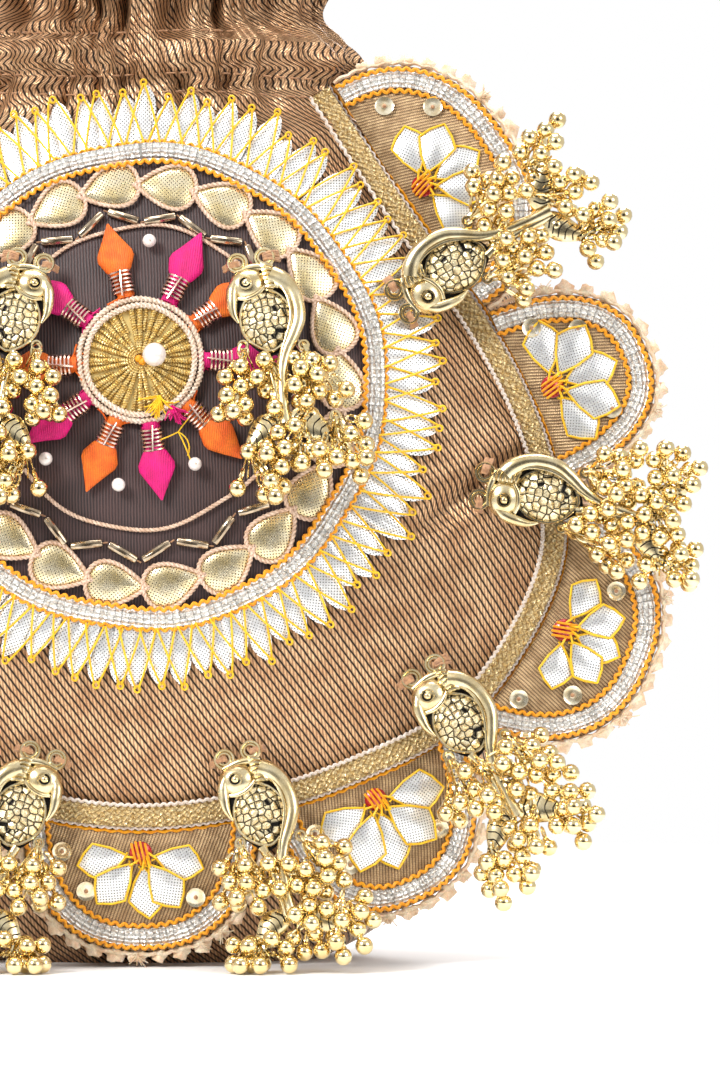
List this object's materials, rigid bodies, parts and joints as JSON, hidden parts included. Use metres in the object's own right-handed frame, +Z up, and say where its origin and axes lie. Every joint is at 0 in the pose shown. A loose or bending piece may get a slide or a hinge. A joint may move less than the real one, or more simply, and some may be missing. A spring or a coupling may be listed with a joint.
{
  "type": "potli bag",
  "caption": "Stuffed drawstring potli pouch with an embroidered round front panel, scalloped flaps, hanging bird charms and bell bunches.",
  "frame": {"origin": "on the floor plane under the middle of the whole bag", "axes": "+Z up, the decorated front faces -Y, +X to the right when looking at the front"},
  "size_m": [0.283, 0.1184, 0.276],
  "materials": {
    "pouch_cloth": "copper-bronze ribbed silk with fine black diagonal lines",
    "lining_cloth": "plain brown satin",
    "twisted_cord": "pale beige two-ply twisted cord",
    "dark_satin": "dark chocolate ribbed satin",
    "silver_ribbon": "crinkled silver metallic ribbon with orange picot edges",
    "silver_gota": "silver punched metallic ribbon leaves, yellow thread",
    "gold_gota": "pale gold punched metallic ribbon petals",
    "bugle_beads": "dark gold lined glass tubes, glossy",
    "gold_purl": "bright gold metal purl thread",
    "pearl": "pearl sheen",
    "gold_braid": "woven gold glitter braid with white edges",
    "tissue_cloth": "brown-gold fine striped tissue cloth",
    "orange_silk": "orange dupion silk",
    "magenta_silk": "magenta dupion silk",
    "cast_charm_metal": "antique pale gold casting with black recesses",
    "bell_metal": "polished pale gold"
  },
  "bodies": {
    "bag": {"pouch": "pouch_cloth", "lining": "lining_cloth", "neck_drawstring": "twisted_cord", "medallion_ground": "dark_satin", "ribbon_ring": "silver_ribbon", "gota_fringe": "silver_gota", "petal_ring": "gold_gota", "bugle_bead_ring": "bugle_beads", "cord_ring": "twisted_cord", "rosette": "gold_purl", "rosette_rim": "twisted_cord", "centre_pearl": "pearl", "small_pearl_1": "pearl", "small_pearl_2": "pearl", "small_pearl_3": "pearl", "small_pearl_4": "pearl", "bud_1": "orange_silk", "bud_2": "magenta_silk", "bud_3": "orange_silk", "bud_4": "magenta_silk", "bud_5": "orange_silk", "bud_6": "magenta_silk", "bud_7": "orange_silk", "bud_8": "magenta_silk", "bud_9": "orange_silk", "bud_10": "magenta_silk", "seam_braid": "gold_braid", "flap_bottom": "tissue_cloth", "flap_lower_right": "tissue_cloth", "flap_lower_left": "tissue_cloth", "flap_side_right": "tissue_cloth", "flap_side_left": "tissue_cloth", "flap_upper_right": "tissue_cloth", "flap_upper_left": "tissue_cloth", "flap_top_right": "tissue_cloth", "flap_top_left": "tissue_cloth", "charm_side_right": "cast_charm_metal", "bells_side_right": "bell_metal", "charm_side_left": "cast_charm_metal", "bells_side_left": "bell_metal", "charm_upper_right": "cast_charm_metal", "bells_upper_right": "bell_metal", "charm_upper_left": "cast_charm_metal", "bells_upper_left": "bell_metal"},
    "charm_panel_right": {"charm_panel_right": "cast_charm_metal"},
    "bells_panel_right": {"bells_panel_right": "bell_metal"},
    "charm_panel_left": {"charm_panel_left": "cast_charm_metal"},
    "bells_panel_left": {"bells_panel_left": "bell_metal"},
    "charm_bottom_right": {"charm_bottom_right": "cast_charm_metal"},
    "bells_bottom_right": {"bells_bottom_right": "bell_metal"},
    "charm_bottom_left": {"charm_bottom_left": "cast_charm_metal"},
    "bells_bottom_left": {"bells_bottom_left": "bell_metal"},
    "charm_lower_right": {"charm_lower_right": "cast_charm_metal"},
    "bells_lower_right": {"bells_lower_right": "bell_metal"},
    "charm_lower_left": {"charm_lower_left": "cast_charm_metal"},
    "bells_lower_left": {"bells_lower_left": "bell_metal"}
  },
  "joints": [
    {"name": "charm_panel_right_swing", "type": "hinge", "parent": "bag", "child": "charm_panel_right", "pos_m": [0.0276, -0.04071, 0.1775], "axis": [-0.9781, 0, -0.2079], "range_deg": [0, 60]},
    {"name": "bells_panel_right_swing", "type": "hinge", "parent": "charm_panel_right", "child": "bells_panel_right", "pos_m": [0.03199, -0.04685, 0.15684], "axis": [-0.9781, 0, -0.2079], "range_deg": [0, 35]},
    {"name": "charm_panel_left_swing", "type": "hinge", "parent": "bag", "child": "charm_panel_left", "pos_m": [-0.0276, -0.04071, 0.1775], "axis": [-0.9781, 0, 0.2079], "range_deg": [0, 60]},
    {"name": "bells_panel_left_swing", "type": "hinge", "parent": "charm_panel_left", "child": "bells_panel_left", "pos_m": [-0.03199, -0.04685, 0.15684], "axis": [-0.9781, 0, 0.2079], "range_deg": [0, 35]},
    {"name": "charm_bottom_right_swing", "type": "hinge", "parent": "bag", "child": "charm_bottom_right", "pos_m": [0.0243, -0.04299, 0.0536], "axis": [-0.9455, 0, -0.3256], "range_deg": [0, 60]},
    {"name": "bells_bottom_right_swing", "type": "hinge", "parent": "charm_bottom_right", "child": "bells_bottom_right", "pos_m": [0.03123, -0.04857, 0.03348], "axis": [-0.9455, 0, -0.3256], "range_deg": [0, 35]},
    {"name": "charm_bottom_left_swing", "type": "hinge", "parent": "bag", "child": "charm_bottom_left", "pos_m": [-0.0243, -0.04299, 0.0536], "axis": [-0.9455, 0, 0.3256], "range_deg": [0, 60]},
    {"name": "bells_bottom_left_swing", "type": "hinge", "parent": "charm_bottom_left", "child": "bells_bottom_left", "pos_m": [-0.03123, -0.04857, 0.03348], "axis": [-0.9455, 0, 0.3256], "range_deg": [0, 35]},
    {"name": "charm_lower_right_swing", "type": "hinge", "parent": "bag", "child": "charm_lower_right", "pos_m": [0.0709, -0.03696, 0.0744], "axis": [-0.8387, 0, -0.5446], "range_deg": [0, 60]},
    {"name": "bells_lower_right_swing", "type": "hinge", "parent": "charm_lower_right", "child": "bells_lower_right", "pos_m": [0.0826, -0.04167, 0.05638], "axis": [-0.8387, 0, -0.5446], "range_deg": [0, 35]},
    {"name": "charm_lower_left_swing", "type": "hinge", "parent": "bag", "child": "charm_lower_left", "pos_m": [-0.0709, -0.03696, 0.0744], "axis": [-0.8387, 0, 0.5446], "range_deg": [0, 60]},
    {"name": "bells_lower_left_swing", "type": "hinge", "parent": "charm_lower_left", "child": "bells_lower_left", "pos_m": [-0.0826, -0.04167, 0.05638], "axis": [-0.8387, 0, 0.5446], "range_deg": [0, 35]}
  ]
}
